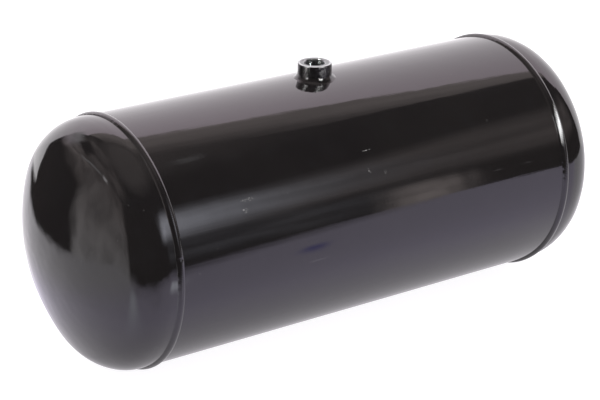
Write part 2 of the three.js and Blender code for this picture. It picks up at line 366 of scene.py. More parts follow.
def turned_paint(name):
    """The same paint over a turned side, whose tool marks it doesn't quite fill."""
    material, tree, shader, place = new_material(name)
    mottle = noise(tree, place, 220.0, 3.0, 0.55)
    color = blend(tree, ramp(tree, mottle, 0.35, 0.8), COAT_DARK, COAT_PALE)
    tree.links.new(color, shader.inputs["Base Color"])
    tree.links.new(ramp(tree, mottle, 0.3, 0.8, 0.06, 0.16), shader.inputs["Roughness"])
    marks = noise(tree, place, 1.0, 2.0, 0.6, (60.0, 60.0, 2600.0))
    tree.links.new(bump(tree, marks, 2.2e-4), shader.inputs["Normal"])
    shader.inputs["IOR"].default_value = COAT_IOR
    return material


def turned_steel(name, center):
    """Bare turned steel with fine tool marks round the boss's own axis, and painted shade in its bore."""
    material, tree, shader, place = new_material(name)
    local = node(tree, "VectorMath", {0: place, 1: center}, operation="SUBTRACT").outputs["Vector"]
    flat = node(tree, "VectorMath", {0: local, 1: (1, 1, 0)}, operation="MULTIPLY").outputs["Vector"]
    radius = node(tree, "VectorMath", {0: flat}, operation="LENGTH").outputs["Value"]
    height = node(tree, "SeparateXYZ", {"Vector": local}).outputs["Z"]
    ring_place = node(tree, "CombineXYZ", {"X": radius, "Y": height}).outputs["Vector"]
    rings = noise(tree, ring_place, TOOL_MARK_SCALE, 3.0, 0.6)
    stain = noise(tree, place, 130.0, 4.0, 0.6)
    color = blend(tree, ramp(tree, rings, 0.3, 0.7), (0.27, 0.285, 0.285), (0.42, 0.44, 0.435))
    inner = ramp(tree, radius, RIM_DARK_TO, RIM_BRIGHT_FROM, 1.0, 0.0)
    face = ramp(tree, radius, BORE_WALL, BORE_MOUTH, 0.0, 0.8)
    color = blend(tree, times(tree, inner, face), color, (0.085, 0.09, 0.09))
    color = blend(tree, ramp(tree, stain, 0.5, 0.75, 0.0, 0.6), color, (0.12, 0.11, 0.10))
    # Painted shade: the bore is coloured a darker grey than the rim, so that the hole reads dark.
    bore = ramp(tree, radius, BORE_WALL, BORE_MOUTH, 1.0, 0.0)
    color = blend(tree, bore, color, (0.20, 0.21, 0.21))
    tree.links.new(color, shader.inputs["Base Color"])
    rough = ramp(tree, stain, 0.3, 0.8, 0.34, 0.52)
    rough = times(tree, rough, ramp(tree, radius, BORE_WALL, BORE_MOUTH, 0.5, 1.0))
    tree.links.new(rough, shader.inputs["Roughness"])
    tree.links.new(bump(tree, rings, 1.6e-5), shader.inputs["Normal"])
    shader.inputs["Metallic"].default_value = 1.0
    return material


def mill_steel(name):
    """Uncoated mill finish: blue-grey scale with rubbed and lightly rusted patches."""
    material, tree, shader, place = new_material(name)
    scale_patch = noise(tree, place, 32.0, 5.0, 0.62)
    grain = noise(tree, place, 900.0, 3.0, 0.6)
    color = blend(tree, ramp(tree, scale_patch, 0.35, 0.65), (0.13, 0.125, 0.125), (0.26, 0.245, 0.235))
    rust = ramp(tree, noise(tree, place, 75.0, 4.0, 0.7), 0.6, 0.78, 0.0, 0.7)
    color = blend(tree, rust, color, (0.20, 0.085, 0.035))
    tree.links.new(color, shader.inputs["Base Color"])
    tree.links.new(ramp(tree, scale_patch, 0.3, 0.7, 0.62, 0.4), shader.inputs["Roughness"])
    tree.links.new(bump(tree, grain, 2e-5), shader.inputs["Normal"])
    shader.inputs["Metallic"].default_value = 0.75
    return material


def brushed_aluminium(name):
    """Fine brushing along the tank, with a few deeper strokes and darker patches of tint."""
    material, tree, shader, place = new_material(name)
    strokes = noise(tree, place, 1.0, 3.0, 0.6, (28.0, 2600.0, 2600.0))
    deep = noise(tree, place, 1.0, 2.0, 0.5, (14.0, 700.0, 700.0))
    tint = noise(tree, place, 40.0, 3.0)
    color = blend(tree, ramp(tree, strokes, 0.3, 0.7), (0.33, 0.335, 0.34), (0.45, 0.455, 0.46))
    color = blend(tree, ramp(tree, tint, 0.5, 0.8, 0.0, 0.35), color, (0.28, 0.275, 0.265))
    tree.links.new(color, shader.inputs["Base Color"])
    tree.links.new(ramp(tree, deep, 0.3, 0.75, 0.36, 0.50), shader.inputs["Roughness"])
    tree.links.new(bump(tree, strokes, 1.5e-5), shader.inputs["Normal"])
    shader.inputs["Metallic"].default_value = 1.0
    return material


def foam(name):
    """Black acrylic foam with open cells at its cut edge."""
    material, tree, shader, place = new_material(name)
    cells = node(tree, "TexVoronoi", {"Vector": place, "Scale": 2600.0}).outputs["Distance"]
    color = blend(tree, ramp(tree, cells, 0.1, 0.6), (0.012, 0.012, 0.013), (0.045, 0.044, 0.043))
    tree.links.new(color, shader.inputs["Base Color"])
    tree.links.new(ramp(tree, cells, 0.1, 0.6, 0.7, 0.92), shader.inputs["Roughness"])
    tree.links.new(bump(tree, cells, 8e-5), shader.inputs["Normal"])
    return material


# Small clusters of scuffs on the shell: millimetres along it, degrees round from the top to the
# front, and how many millimetres each reaches along and across.
SCUFFS = [
    (-148, 60.5, 14, 2.6),
    (-155, 65, 6.5, 4.2),
    (-6, 51.5, 8, 1.2),
    (-10, 61, 2.8, 4.5),
    (8, 63, 2.5, 4.5),
    (144, 51, 3, 2),
]

black_paint = paint("black_paint", 1.1e-5, (0.045, 0.09), 4.5, SCUFFS)
head_paint = paint("head_paint", 1.5e-5, (0.045, 0.09), 0.2)
bead_paint = paint("painted_weld", 1.6e-5, (0.05, 0.11), 0.1)
side_paint = turned_paint("turned_side_paint")
raw_steel = mill_steel("raw_steel")
plate_finish = brushed_aluminium("plate_aluminium")
foam_finish = foam("adhesive_foam")
top_steel = turned_steel("top_turned_steel", (BOSS_X, 0, 0))
drain_steel = turned_steel("drain_turned_steel", (middle("drain_boss").x, 0, 0))


# ---- Shell ---------------------------------------------------------------------------------------

def cut_bore(mesh, center_x, top, bottom, radius):
    """Drills an upright hole through the shell's wall."""
    draft = bmesh.new()
    bmesh.ops.create_cone(
        draft, cap_ends=True, segments=HOLE_SEGMENTS, radius1=radius, radius2=radius,
        depth=top - bottom, matrix=Matrix.Translation((center_x, 0, (top + bottom) / 2)),
    )
    tool_mesh = bpy.data.meshes.new("bore_tool")
    draft.to_mesh(tool_mesh)
    draft.free()
    tool = bpy.data.objects.new("bore_tool", tool_mesh)
    blank = bpy.data.objects.new("bore_blank", mesh)
    for thing in (tool, blank):
        bpy.context.scene.collection.objects.link(thing)
    cut = blank.modifiers.new("bore", "BOOLEAN")
    cut.operation = "DIFFERENCE"
    cut.solver = "EXACT"
    cut.object = tool
    shaped = blank.evaluated_get(bpy.context.evaluated_depsgraph_get())
    result = bpy.data.meshes.new_from_object(shaped)
    for thing in (tool, blank):
        bpy.data.objects.remove(thing)
    return result


def make_shell():
    """The rolled cylinder: bevelled ends, a slight waviness and a hole for each boss."""
    end = SEAM_X - LIP_TOP
    root = SEAM_X - LIP_ROOT
    outer = line((-end, RADIUS), (end, RADIUS), 150)
    lip = line((end, RADIUS), (root, RADIUS - WALL), 2)
    inner = line((root, RADIUS - WALL), (-root, RADIUS - WALL), 60)
    profile = joined(outer, lip, inner, line((-root, RADIUS - WALL), (-end, RADIUS), 2))[:-1]
    points = round_x(profile)
    around = points * np.array([1.0, RADIUS, RADIUS]) / np.maximum(
        np.hypot(points[..., 1], points[..., 2])[..., None], 1e-9
    ) ** np.array([0, 1, 1])
    wave = 0.055 * MM * (waves(around * np.array([0.45, 1, 1]), 0.060, 11) - 1)
    wave += 0.012 * MM * (waves(around, 0.022, 12) - 1)
    mesh = grid_mesh("shell", along_radius(points, wave), close_rows=True)
    mesh = cut_bore(mesh, BOSS_X, RADIUS + DRILL_OVERRUN, 0.0, SPIGOT_RADIUS + HOLE_CLEARANCE)
    mesh = cut_bore(mesh, BOSS_X, 0.0, -RADIUS - DRILL_OVERRUN, BOSS_RADIUS + HOLE_CLEARANCE)
    made = piece("tank_shell", mesh, "shell", [black_paint, raw_steel])
    assign_slots(mesh, lambda center, normal: 1 if math.hypot(center.y, center.z) < INSIDE else 0)
    return made


def make_seam_weld():
    """The longitudinal bead: crescents laid along the shell, proud of it by about a millimetre."""
    length = np.linspace(-SEAM_HALF_LENGTH, SEAM_HALF_LENGTH, 1500)
    across = np.linspace(-1, 1, 15)
    along, side = np.meshgrid(length, across, indexing="ij")
    width = SEAM_HALF_WIDTH * (0.94 + 0.05 * wobble(length, 0.030, 31))[:, None]
    crown = (SEAM_HEIGHT - 0.16 * MM) * (0.96 + 0.04 * wobble(length, 0.024, 32))[:, None]
    phase = along / (1.5 * MM) - 0.55 * (1 - side ** 2) + 0.25 * wobble(length, 0.012, 33)[:, None]
    crescent = np.sqrt(np.abs(np.sin(math.pi * phase)))
    lift = crown * (1 - side ** 2) ** 0.8 + 0.13 * MM * crescent * (1 - side ** 4) - 0.12 * MM
    runout = np.clip((SEAM_HALF_LENGTH - np.abs(along)) / (3 * MM), 0, 1)
    lift = lift * np.sqrt(runout) - 0.12 * MM * (1 - runout)
    face = np.stack([along, side * width, RADIUS + lift], axis=-1)
    back = face[:, ::-1].copy()
    back[..., 2] = RADIUS - 1.2 * MM
    points = np.concatenate([face, back[:, 1:-1]], axis=1)
    spread = points[..., 1] / RADIUS + SEAM_ANGLE
    reach = points[..., 2].copy()
    points[..., 1] = reach * np.sin(spread)
    points[..., 2] = reach * np.cos(spread)
    ends = [np.repeat(points[k].mean(axis=0)[None, None], points.shape[1], axis=1) for k in (0, -1)]
    mesh = grid_mesh("shell_seam_weld", np.concatenate([ends[0], points, ends[1]], axis=0))
    return piece("shell_seam_bead", mesh, "shell_seam_weld", [bead_paint], 60)


# ---- Heads ---------------------------------------------------------------------------------------

def dish(offset, steps):
    """Head profile (x, r) from the apex to the flange's tangent, moved inwards by an offset."""
    knuckle_r = RADIUS - KNUCKLE
    crown_x = FLANGE_END - math.sqrt((CROWN - KNUCKLE) ** 2 - knuckle_r ** 2)
    turn = math.asin(knuckle_r / (CROWN - KNUCKLE))
    crown = arc((crown_x, 0), CROWN - offset, 0, turn, steps)
    knuckle = arc((FLANGE_END, knuckle_r), KNUCKLE - offset, turn, math.pi / 2, steps)
    return joined([(crown[0][0], 0.0)], crown[1:], knuckle)


def make_head(name, node_name, side, seed):
    """A pressed head: dished outside and in, with a straight flange and slight pressing waves."""
    top = SEAM_X + LIP_TOP
    root = SEAM_X + LIP_ROOT
    outer = joined(dish(0, 60), line((FLANGE_END, RADIUS), (top, RADIUS), 6))
    inner = joined(line((root, RADIUS - WALL), (FLANGE_END, RADIUS - WALL), 4), dish(WALL, 30)[::-1])
    profile = joined(outer, line(outer[-1], inner[0], 2), inner)
    points = round_x(profile)
    direction = points - np.array([FLANGE_END - DISH_DEPTH, 0, 0])
    direction /= np.linalg.norm(direction, axis=-1)[..., None]
    skin = direction * RADIUS
    hold = np.clip((points[..., 0] - SEAM_X - 3 * MM) / (12 * MM), 0, 1)[..., None]
    push = 0.16 * MM * (waves(skin, 0.080, seed) - 1) + 0.085 * MM * (waves(skin, 0.032, seed + 1) - 1)
    push += 0.026 * MM * (waves(skin, 0.013, seed + 2) - 1)
    points = points + direction * push[..., None] * hold
    points[..., 0] *= side
    mesh = grid_mesh(name, points)
    made = piece(name, mesh, node_name, [head_paint, raw_steel])

    def slot(center, normal):
        reach = math.hypot(center.y, center.z)
        if reach > INSIDE:
            return 0
        outward = normal.x * side * max(abs(center.x) - FLANGE_END + DISH_DEPTH, 0) + (
            (normal.y * center.y + normal.z * center.z) if reach > 0 else 0
        )
        return 0 if outward > 0 else 1

    assign_slots(mesh, slot)
    return made


# ---- Girth welds ---------------------------------------------------------------------------------

def make_girth_weld(name, node_name, x, seed, stop_angle):
    """A rotated single-run bead: fine crescents, a slightly uneven toe and one tied-in stop."""
    across = np.linspace(-1, 1, 21)
    turn = np.linspace(0, TAU, BEAD_COLUMNS, endpoint=False)
    run = turn * RADIUS
    around = TAU * RADIUS
    side, _ = np.meshgrid(across, turn, indexing="ij")
    gap = (turn - stop_angle + math.pi) % TAU - math.pi
    stop = np.exp(-((gap * RADIUS) / (2.2 * MM)) ** 2)
    crater = np.exp(-((gap * RADIUS - 2.6 * MM) / (1.3 * MM)) ** 2)
    width = BEAD_HALF * (0.95 + 0.022 * wobble(run, 0.045, seed, around)
                         + 0.016 * wobble(run, 0.009, seed + 1, around)) + 0.12 * MM * stop
    crown = (BEAD_TOP - RADIUS - 0.20 * MM) * (0.985 + 0.015 * wobble(run, 0.060, seed + 2, around))
    ripples = round(around / (1.7 * MM))
    phase = ripples * turn / TAU - 0.75 * (1 - side ** 2) + 0.2 * wobble(run, 0.02, seed + 3, around)
    crescent = np.sqrt(np.abs(np.sin(math.pi * phase)))
    shape = np.maximum(1 - side ** 2, 0)
    lift = crown * shape ** 0.78 * (1 - 0.16 * crater) + 0.085 * MM * crescent * shape ** 0.5
    lift = np.minimum(lift - 0.14 * MM, BEAD_TOP - RADIUS - 0.01 * MM)
    drift = 0.10 * MM * wobble(run, 0.05, seed + 4, around)
    face_x = x + side * width + drift * (1 - side ** 2)
    face_r = RADIUS + lift
    root_x = x + np.array([LIP_ROOT, 0, -LIP_ROOT])[:, None] * np.ones(BEAD_COLUMNS)
    root_r = np.full((3, BEAD_COLUMNS), RADIUS - WALL + 0.02 * MM)
    along = np.concatenate([face_x, root_x])
    reach = np.concatenate([face_r, root_r])
    points = np.stack([along, reach * np.sin(turn), reach * np.cos(turn)], axis=-1)
    mesh = grid_mesh(name, points, close_rows=True)
    return piece(name, mesh, node_name, [bead_paint], 60)


# ---- Bosses --------------------------------------------------------------------------------------

def thread_depth(z, turn):
    """Depth of an ISO metric thread's groove, by height and angle: a flat crest, then two flanks."""
    share = (z / THREAD_PITCH - turn / TAU) % 1.0
    rise = np.clip((share - CREST_SHARE) / FLANK_SHARE, 0, 1)
    fall = np.clip((1.0 - share) / FLANK_SHARE, 0, 1)
    return THREAD_DEPTH * np.minimum(rise, fall)


def boss_points(rim, inner_end, shoulder):
    """Boss round its own axis, rim up: painted side, bare rim, threaded bore with two lead-ins."""
    turn = np.linspace(0, TAU, BOSS_COLUMNS, endpoint=False)

    def ring(radius, height):
        return np.stack([np.full(BOSS_COLUMNS, radius), np.full(BOSS_COLUMNS, height)], axis=-1)

    foot = (SPIGOT_RADIUS, inner_end + SPIGOT_CHAMFER)
    side = joined(
        [(SPIGOT_RADIUS - SPIGOT_CHAMFER, inner_end), foot],
        line(foot, (SPIGOT_RADIUS, shoulder), 3),
        line((SPIGOT_RADIUS, shoulder), (BOSS_RADIUS, shoulder), 2),
        line((BOSS_RADIUS, shoulder), (BOSS_RADIUS, rim - RIM_CHAMFER), 14),
        arc((BOSS_RADIUS - RIM_CHAMFER, rim - RIM_CHAMFER), RIM_CHAMFER, 0, math.pi / 2, 6),
        line((BOSS_RADIUS - RIM_CHAMFER, rim), (BORE_MOUTH + MOUTH_EDGE, rim), 8),
        arc((BORE_MOUTH + MOUTH_EDGE, rim - MOUTH_EDGE), MOUTH_EDGE, math.pi / 2, math.pi * 0.75, 2),
    )
    rows = [ring(radius, height) for radius, height in side]
    mouth = side[-1][1]
    step = THREAD_PITCH / THREAD_ROWS
    for z in np.arange(mouth - step, inner_end, -step):
        lead = max(BORE_MOUTH - (rim - z), INNER_MOUTH - (z - inner_end))
        rows.append(ring(np.maximum(THREAD_CREST + thread_depth(z, turn), lead), z))
    rows.append(ring(INNER_MOUTH, inner_end))
    rows = np.array(rows)
    return np.stack([rows[..., 0] * np.cos(turn), rows[..., 0] * np.sin(turn), rows[..., 1]], axis=-1)


def make_boss(name, node_name, flip, rim, inner_end, shoulder, steel):
    """A boss, painted on its side above the shoulder and bare on its rim and in its bore."""
    points = boss_points(rim, inner_end, shoulder)
    points = points * np.array([1, flip, flip]) + np.array([BOSS_X, 0, 0])
    mesh = grid_mesh(name, points, close_rows=True)
    made = piece(name, mesh, node_name, [steel, side_paint], 32)

    def slot(center, normal):
        reach = math.hypot(center.x - BOSS_X, center.y)
        height = flip * center.z
        painted = reach > BOSS_RADIUS - 0.6 * MM and height < rim - 0.1 * MM
        return 1 if painted and height > shoulder else 0

    assign_slots(mesh, slot)
    return made


def shell_height(y_reach):
    return np.sqrt(np.maximum(RADIUS ** 2 - y_reach ** 2, 0))


def make_fillet(name, node_name, flip, foot, toe, leg, hollow, seed):
    """A fillet run round a boss's foot: concave, rippled, and following the shell's curve."""
    turn = np.linspace(0, TAU, FILLET_COLUMNS, endpoint=False)
    t = np.linspace(0, 1, 17)[:, None]
    run = turn * toe
    around = TAU * toe
    ripples = round(around / (1.9 * MM))
    reach_toe = toe - 0.35 * MM + 0.22 * MM * wobble(run, 0.016, seed, around)
    climb = leg * (0.95 + 0.05 * wobble(run, 0.014, seed + 1, around))
    radius = foot + (reach_toe - foot) * t
    ground = shell_height(radius * np.sin(turn))
    phase = ripples * turn / TAU + 0.5 * (1 - t) * t * 4 + 0.25 * wobble(run, 0.01, seed + 2, around)
    crescent = np.sqrt(np.abs(np.sin(math.pi * phase)))
    sag = hollow * np.sin(math.pi * t)
    height = ground + climb * (1 - t) - sag + 0.11 * MM * crescent * np.sin(math.pi * t) ** 0.6
    height = height - 0.12 * MM * t
    face = np.stack([radius * np.cos(turn), radius * np.sin(turn), height], axis=-1)
    under_r = np.array([reach_toe - 0.4 * MM, np.full(FILLET_COLUMNS, foot - 0.3 * MM)])
    under_z = shell_height(under_r * np.sin(turn)) - 1.0 * MM
    under = np.stack([under_r * np.cos(turn), under_r * np.sin(turn), under_z], axis=-1)
    points = np.concatenate([face, under]) * np.array([1, flip, flip]) + np.array([BOSS_X, 0, 0])
    mesh = grid_mesh(name, points, close_rows=True)
    return piece(name, mesh, node_name, [bead_paint], 60)


# ---- Data plate ----------------------------------------------------------------------------------

def make_plate():
    """A thin blank plate curved to the shell, with a rolled edge and a shallow pressed border."""
    corner = []
    for quarter in range(4):
        start = quarter * math.pi / 2
        sign = [(1, 1), (-1, 1), (-1, -1), (1, -1)][quarter]
        center = [sign[k] * (PLATE_HALF[k] - PLATE_CORNER) for k in (0, 1)]
        corner += arc(center, PLATE_CORNER, start, start + math.pi / 2, 14)
    ends = np.array(corner)
    outline = np.concatenate([np.linspace(p, q, 18, endpoint=False)
                              for p, q in zip(ends, np.roll(ends, -1, axis=0))
                              if math.dist(p, q) > 1 * MM]
                             + [ends])
    order = np.argsort(np.arctan2(outline[:, 1], outline[:, 0]))
    outline = outline[order]
    size = np.hypot(*outline.T)[:, None]
    rows = []
    for t in np.linspace(0, 1, 12):
        rows.append((outline * (1 - PLATE_EDGE / size) * t, np.full(len(outline), PLATE_BACK)))
    for angle in np.linspace(0, math.pi, 9):
        lift = (PLATE_FACE - PLATE_BACK) * (1 - math.cos(angle)) / 2
        rows.append((outline * (1 - PLATE_EDGE * (1 - math.sin(angle)) / size),
                     np.full(len(outline), PLATE_BACK + lift)))
    for t in np.linspace(1, 0, 90) ** 0.8:
        flat = outline * (1 - PLATE_EDGE / size) * t
        beyond = np.abs(flat) - (np.array(PLATE_HALF) - PLATE_CORNER)
        depth = (np.hypot(*np.maximum(beyond, 0).T) + np.minimum(beyond.max(axis=1), 0) - PLATE_CORNER)
        groove = 0.16 * MM * np.exp(-((depth + PLATE_BORDER) / (0.45 * MM)) ** 2)
        rows.append((flat, PLATE_FACE - 0.01 * MM - groove))
    flat = np.array([row[0] for row in rows])
    reach = np.array([row[1] for row in rows])
    spread = flat[..., 1] / PLATE_FACE
    middle_x = middle("data_plate").x
    points = np.stack([middle_x + flat[..., 0], reach * np.cos(spread), reach * np.sin(spread)], axis=-1)
    mesh = grid_mesh("data_plate_blank", points)
    return piece("data_plate_blank", mesh, "data_plate", [plate_finish], 50)


# ---- The tank ------------------------------------------------------------------------------------

make_shell()
make_seam_weld()
make_head("left_dished_head", "left_head", -1, 41)
make_head("right_dished_head", "right_head", 1, 51)
make_girth_weld("left_girth_bead", "left_girth_weld", -SEAM_X, 61, math.radians(-79.5))
make_girth_weld("right_girth_bead", "right_girth_weld", SEAM_X, 71, math.radians(150))
make_boss("top_boss_threaded", "top_port_boss", 1, BOSS_RIM, BOSS_INNER_END, RADIUS - 0.3 * MM, top_steel)
make_boss("drain_boss_threaded", "drain_boss", -1, -DRAIN_RIM, -DRAIN_INNER_END, RADIUS - 6 * MM,
          drain_steel)
make_fillet("top_boss_fillet", "top_port_weld", 1, BOSS_RADIUS - 0.05 * MM, TOP_FILLET_RADIUS,
            TOP_FILLET_LEG, 0.75 * MM, 81)
make_fillet("drain_boss_fillet", "drain_boss_weld", -1, BOSS_RADIUS - 0.05 * MM, DRAIN_FILLET_RADIUS,
            1.1 * MM, 0.1 * MM, 91)
make_plate()

for node_name, material in (
    ("left_backing_ring", raw_steel),
    ("right_backing_ring", raw_steel),
    ("data_plate_adhesive", foam_finish),
):
    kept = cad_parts[node_name]
    kept.data.materials.clear()
    kept.data.materials.append(material)


# ---- Stage ---------------------------------------------------------------------------------------

YAW = math.radians(34.86)
PITCH = math.radians(21.84)
ROLL = math.radians(0.60)
CAMERA_DISTANCE = 1.97304
CAMERA_SIDE = 0.013087
CAMERA_RISE = 0.0079357
LENS = 116.9
FLOOR_Z = low("left_girth_weld").z
FLOOR_RADIUS = 9
FLOOR_SEGMENTS = 96
FLOOR_GLOW = 0.93
TABLE_NEAR = -0.8
TABLE_FAR = 1.5
TABLE_FRONT = 0.52
TABLE_LEFT = 0.74
TABLE_GLOW = 1.34
TANK_CORE = 0.20


def direction(azimuth, elevation):
    a, e = math.radians(azimuth), math.radians(elevation)
    return Vector((math.sin(a) * math.cos(e), math.cos(a) * math.cos(e), math.sin(e)))


def make_camera():
    """The camera, at the photograph's viewing angle."""
    forward = direction(math.degrees(YAW), -math.degrees(PITCH))
    right = Vector((math.cos(YAW), -math.sin(YAW), 0))
    up = right.cross(forward)
    across = math.cos(ROLL) * right + math.sin(ROLL) * up
    upright = -math.sin(ROLL) * right + math.cos(ROLL) * up
    place = -forward * CAMERA_DISTANCE - across * CAMERA_SIDE - upright * CAMERA_RISE
    camera = bpy.data.objects.new("camera", bpy.data.cameras.new("camera"))
    camera.data.lens = LENS
    camera.data.sensor_width = 36
    turn = Matrix((across, upright, -forward)).transposed()
    camera.matrix_world = Matrix.Translation(place) @ turn.to_4x4()
    bpy.context.scene.collection.objects.link(camera)
    bpy.context.scene.camera = camera


def glow_material(name, colors, strengths, soft, uneven):
    """Light of a panel: colors and strengths at its lower and upper edge, clear towards its sides."""
    material = bpy.data.materials.new(name)
    material.use_nodes = True
    tree = material.node_tree
    tree.nodes.clear()
    out = node(tree, "OutputMaterial")
    place = node(tree, "TexCoord").outputs["Object"]
    split = node(tree, "SeparateXYZ", {"Vector": place})
    level = ramp(tree, split.outputs["Y"], -1.0, 1.0, *strengths)
    level = times(tree, level, ramp(tree, noise(tree, place, 2.3, 3.0), 0.3, 0.7, 1 - uneven, 1 + uneven))
    color = blend(tree, ramp(tree, split.outputs["Y"], -1.0, 1.0), *colors)
    sides = []
    for axis, margin in zip("XY", soft):
        reach = node(tree, "Math", {0: split.outputs[axis]}, operation="ABSOLUTE").outputs["Value"]
        sides.append(ramp(tree, reach, 1.0 - margin, 1.0, 1.0, 0.0))
    glow = node(tree, "Emission", {"Color": color, "Strength": level}).outputs["Emission"]
    clear = node(tree, "BsdfTransparent").outputs["BSDF"]
    mixed = node(tree, "MixShader", {0: times(tree, *sides), 1: clear, 2: glow})
    tree.links.new(mixed.outputs[0], out.inputs["Surface"])
    return material


def make_panel(name, center, across, upright, half_size, colors, strengths, soft, uneven=0.0):
    """A soft panel that only the gloss shows: it is clear to the camera and throws no shadow."""
    mesh = bpy.data.meshes.new(name)
    mesh.from_pydata([(-1, -1, 0), (1, -1, 0), (1, 1, 0), (-1, 1, 0)], [], [(0, 1, 2, 3)])
    mesh.materials.append(glow_material(name, colors, strengths, soft, uneven))
    panel = bpy.data.objects.new(name, mesh)
    turn = Matrix((across * half_size[0], upright * half_size[1], across.cross(upright))).transposed()
    panel.matrix_world = Matrix.Translation(center) @ turn.to_4x4()
    bpy.context.scene.collection.objects.link(panel)
    panel.visible_camera = False
    panel.visible_shadow = False
    panel.visible_diffuse = False


def hang_panel(name, seen_from, azimuth, elevation, distance, half_angles, colors, strengths, soft,
               uneven=0.1):
    """A panel that fills the given angles as seen from a point of the tank."""
    away = direction(azimuth, elevation)
    across = away.cross(Vector((0, 0, 1))).normalized()
    upright = across.cross(away)
    half_size = [distance * math.tan(math.radians(a)) for a in half_angles]
    make_panel(name, seen_from + away * distance, across, upright, half_size, colors, strengths,
               soft, uneven)


def hang_strip(name, seen_from, start, end, distance, half_width, color, strength):
    """A thin strip of light between two directions (azimuth, elevation), as seen from a point."""
    ends = [seen_from + direction(*place) * distance for place in (start, end)]
    across = (ends[1] - ends[0]).normalized()
    away = (ends[0] + ends[1]) / 2 - seen_from
    upright = across.cross(away).normalized()
    half_size = ((ends[1] - ends[0]).length / 2, distance * math.tan(math.radians(half_width)))
    make_panel(name, seen_from + away, across, upright, half_size, (color, color),
               (strength, strength), (0.6, 0.9))


def lay_panel(name, x, y, heading, half_size, colors, strengths, soft=(0.9, 0.9)):
    """A patch of light that lies just over the floor."""
    center = Vector((x, y, FLOOR_Z + 1 * MM))
    make_panel(name, center, direction(heading + 90, 0), direction(heading, 0), half_size, colors,
               strengths, soft)


def make_floor():
    """A wide pale floor that also glows, so that it burns to white. The gloss doesn't see it."""
    turn = np.linspace(0, TAU, FLOOR_SEGMENTS, endpoint=False)
    edge = FLOOR_RADIUS * np.array([np.cos(turn), np.sin(turn)])
    rim = np.stack([*edge, np.full(FLOOR_SEGMENTS, FLOOR_Z)], axis=-1)
    mesh = bpy.data.meshes.new("floor")
    mesh.from_pydata(rim.tolist(), [], [tuple(range(FLOOR_SEGMENTS))])
    material, tree, shader, place = new_material("floor")
    tone = noise(tree, place, 3.0, 4.0)
    color = blend(tree, ramp(tree, tone, 0.3, 0.7), (0.30, 0.30, 0.31), (0.33, 0.33, 0.34))
    tree.links.new(color, shader.inputs["Base Color"])
    shader.inputs["Roughness"].default_value = 0.9
    shader.inputs["Specular IOR Level"].default_value = 0.1
    shader.inputs["Emission Color"].default_value = (1.0, 0.985, 1.01, 1)
    shader.inputs["Emission Strength"].default_value = FLOOR_GLOW
    mesh.materials.append(material)
    floor = bpy.data.objects.new("floor", mesh)
    bpy.context.scene.collection.objects.link(floor)
    floor.visible_glossy = False


def table_material(name):
    """The floor as the gloss sees it: shaded under the tank, fading towards the camera and the left."""
    material = bpy.data.materials.new(name)
    material.use_nodes = True
    tree = material.node_tree
    tree.nodes.clear()
    out = node(tree, "OutputMaterial")
    place = node(tree, "TexCoord").outputs["Object"]

    def reach(axis):
        return node(tree, "VectorMath", {0: place, 1: axis}, operation="DOT_PRODUCT").outputs["Value"]

    ragged = times(tree, noise(tree, place, 6.0, 3.0), 0.22)
    front = ramp(tree, plus(tree, reach(AHEAD), ragged), -TABLE_FRONT - 0.06, -TABLE_FRONT + 0.26)
    left = ramp(tree, plus(tree, reach(RIGHT), times(tree, ragged, 0.4)), -TABLE_LEFT, -TABLE_LEFT + 0.14)
    split = node(tree, "SeparateXYZ", {"Vector": place})
    over = node(tree, "Math", {0: split.outputs["X"]}, operation="ABSOLUTE").outputs["Value"]
    over = node(tree, "Math", {0: over, 1: TANK_CORE}, operation="SUBTRACT").outputs["Value"]
    over = node(tree, "Math", {0: over, 1: 0.0}, operation="MAXIMUM").outputs["Value"]
    away = node(tree, "CombineXYZ", {"X": over, "Y": split.outputs["Y"]}).outputs["Vector"]
    away = node(tree, "VectorMath", {0: away}, operation="LENGTH").outputs["Value"]
    shade = ramp(tree, away, 0.035, 0.19, 0.56, 1.0)
    tinted = times(tree, ramp(tree, reach(RIGHT), -0.50, -0.20), ramp(tree, away, 0.06, 0.22))
    tinted = times(tree, tinted, ramp(tree, reach(AHEAD), -0.03, 0.12, 1.0, 0.0))
    color = blend(tree, tinted, (1.0, 0.965, 1.02), (0.97, 0.895, 1.14))
    level = times(tree, shade, TABLE_GLOW)
    glow = node(tree, "Emission", {"Color": color, "Strength": level}).outputs["Emission"]
    clear = node(tree, "BsdfTransparent").outputs["BSDF"]
    mixed = node(tree, "MixShader", {0: times(tree, front, left), 1: clear, 2: glow})
    tree.links.new(mixed.outputs[0], out.inputs["Surface"])
    return material


def make_table():
    """A light table under the tank, which only the gloss shows."""
    corners = [
        AHEAD * far + RIGHT * side + Vector((0, 0, FLOOR_Z))
        for far, side in ((TABLE_NEAR, TABLE_NEAR), (TABLE_NEAR, TABLE_FAR), (TABLE_FAR, TABLE_FAR),
                          (TABLE_FAR, TABLE_NEAR))
    ]
    mesh = bpy.data.meshes.new("table_top")
    mesh.from_pydata(corners, [], [(0, 1, 2, 3)])
    mesh.materials.append(table_material("table_top"))
    table = bpy.data.objects.new("table_top", mesh)
    bpy.context.scene.collection.objects.link(table)
    table.visible_camera = False
    table.visible_diffuse = False
    table.visible_shadow = False


def make_world():
    """Bright and even for the floor and the background, a dim room for what the gloss reflects."""
    world = bpy.data.worlds.new("room")
    world.use_nodes = True
    tree = world.node_tree
    tree.nodes.clear()
    out = node(tree, "OutputWorld")
    sky = node(tree, "SeparateXYZ", {"Vector": node(tree, "TexCoord").outputs["Generated"]})
    ceiling = ramp(tree, sky.outputs["Z"], 0.80, 0.97, 0.04, 0.45)
    room = node(tree, "Background", {"Color": (1.0, 0.88, 0.86, 1), "Strength": ceiling})
    studio = node(tree, "Background", {"Color": (1.0, 1.0, 1.0, 1), "Strength": 1.30})
    glossy = node(tree, "LightPath").outputs["Is Glossy Ray"]
    mixed = node(tree, "MixShader", {0: glossy, 1: studio.outputs[0], 2: room.outputs[0]})
    tree.links.new(mixed.outputs[0], out.inputs["Surface"])
    bpy.context.scene.world = world


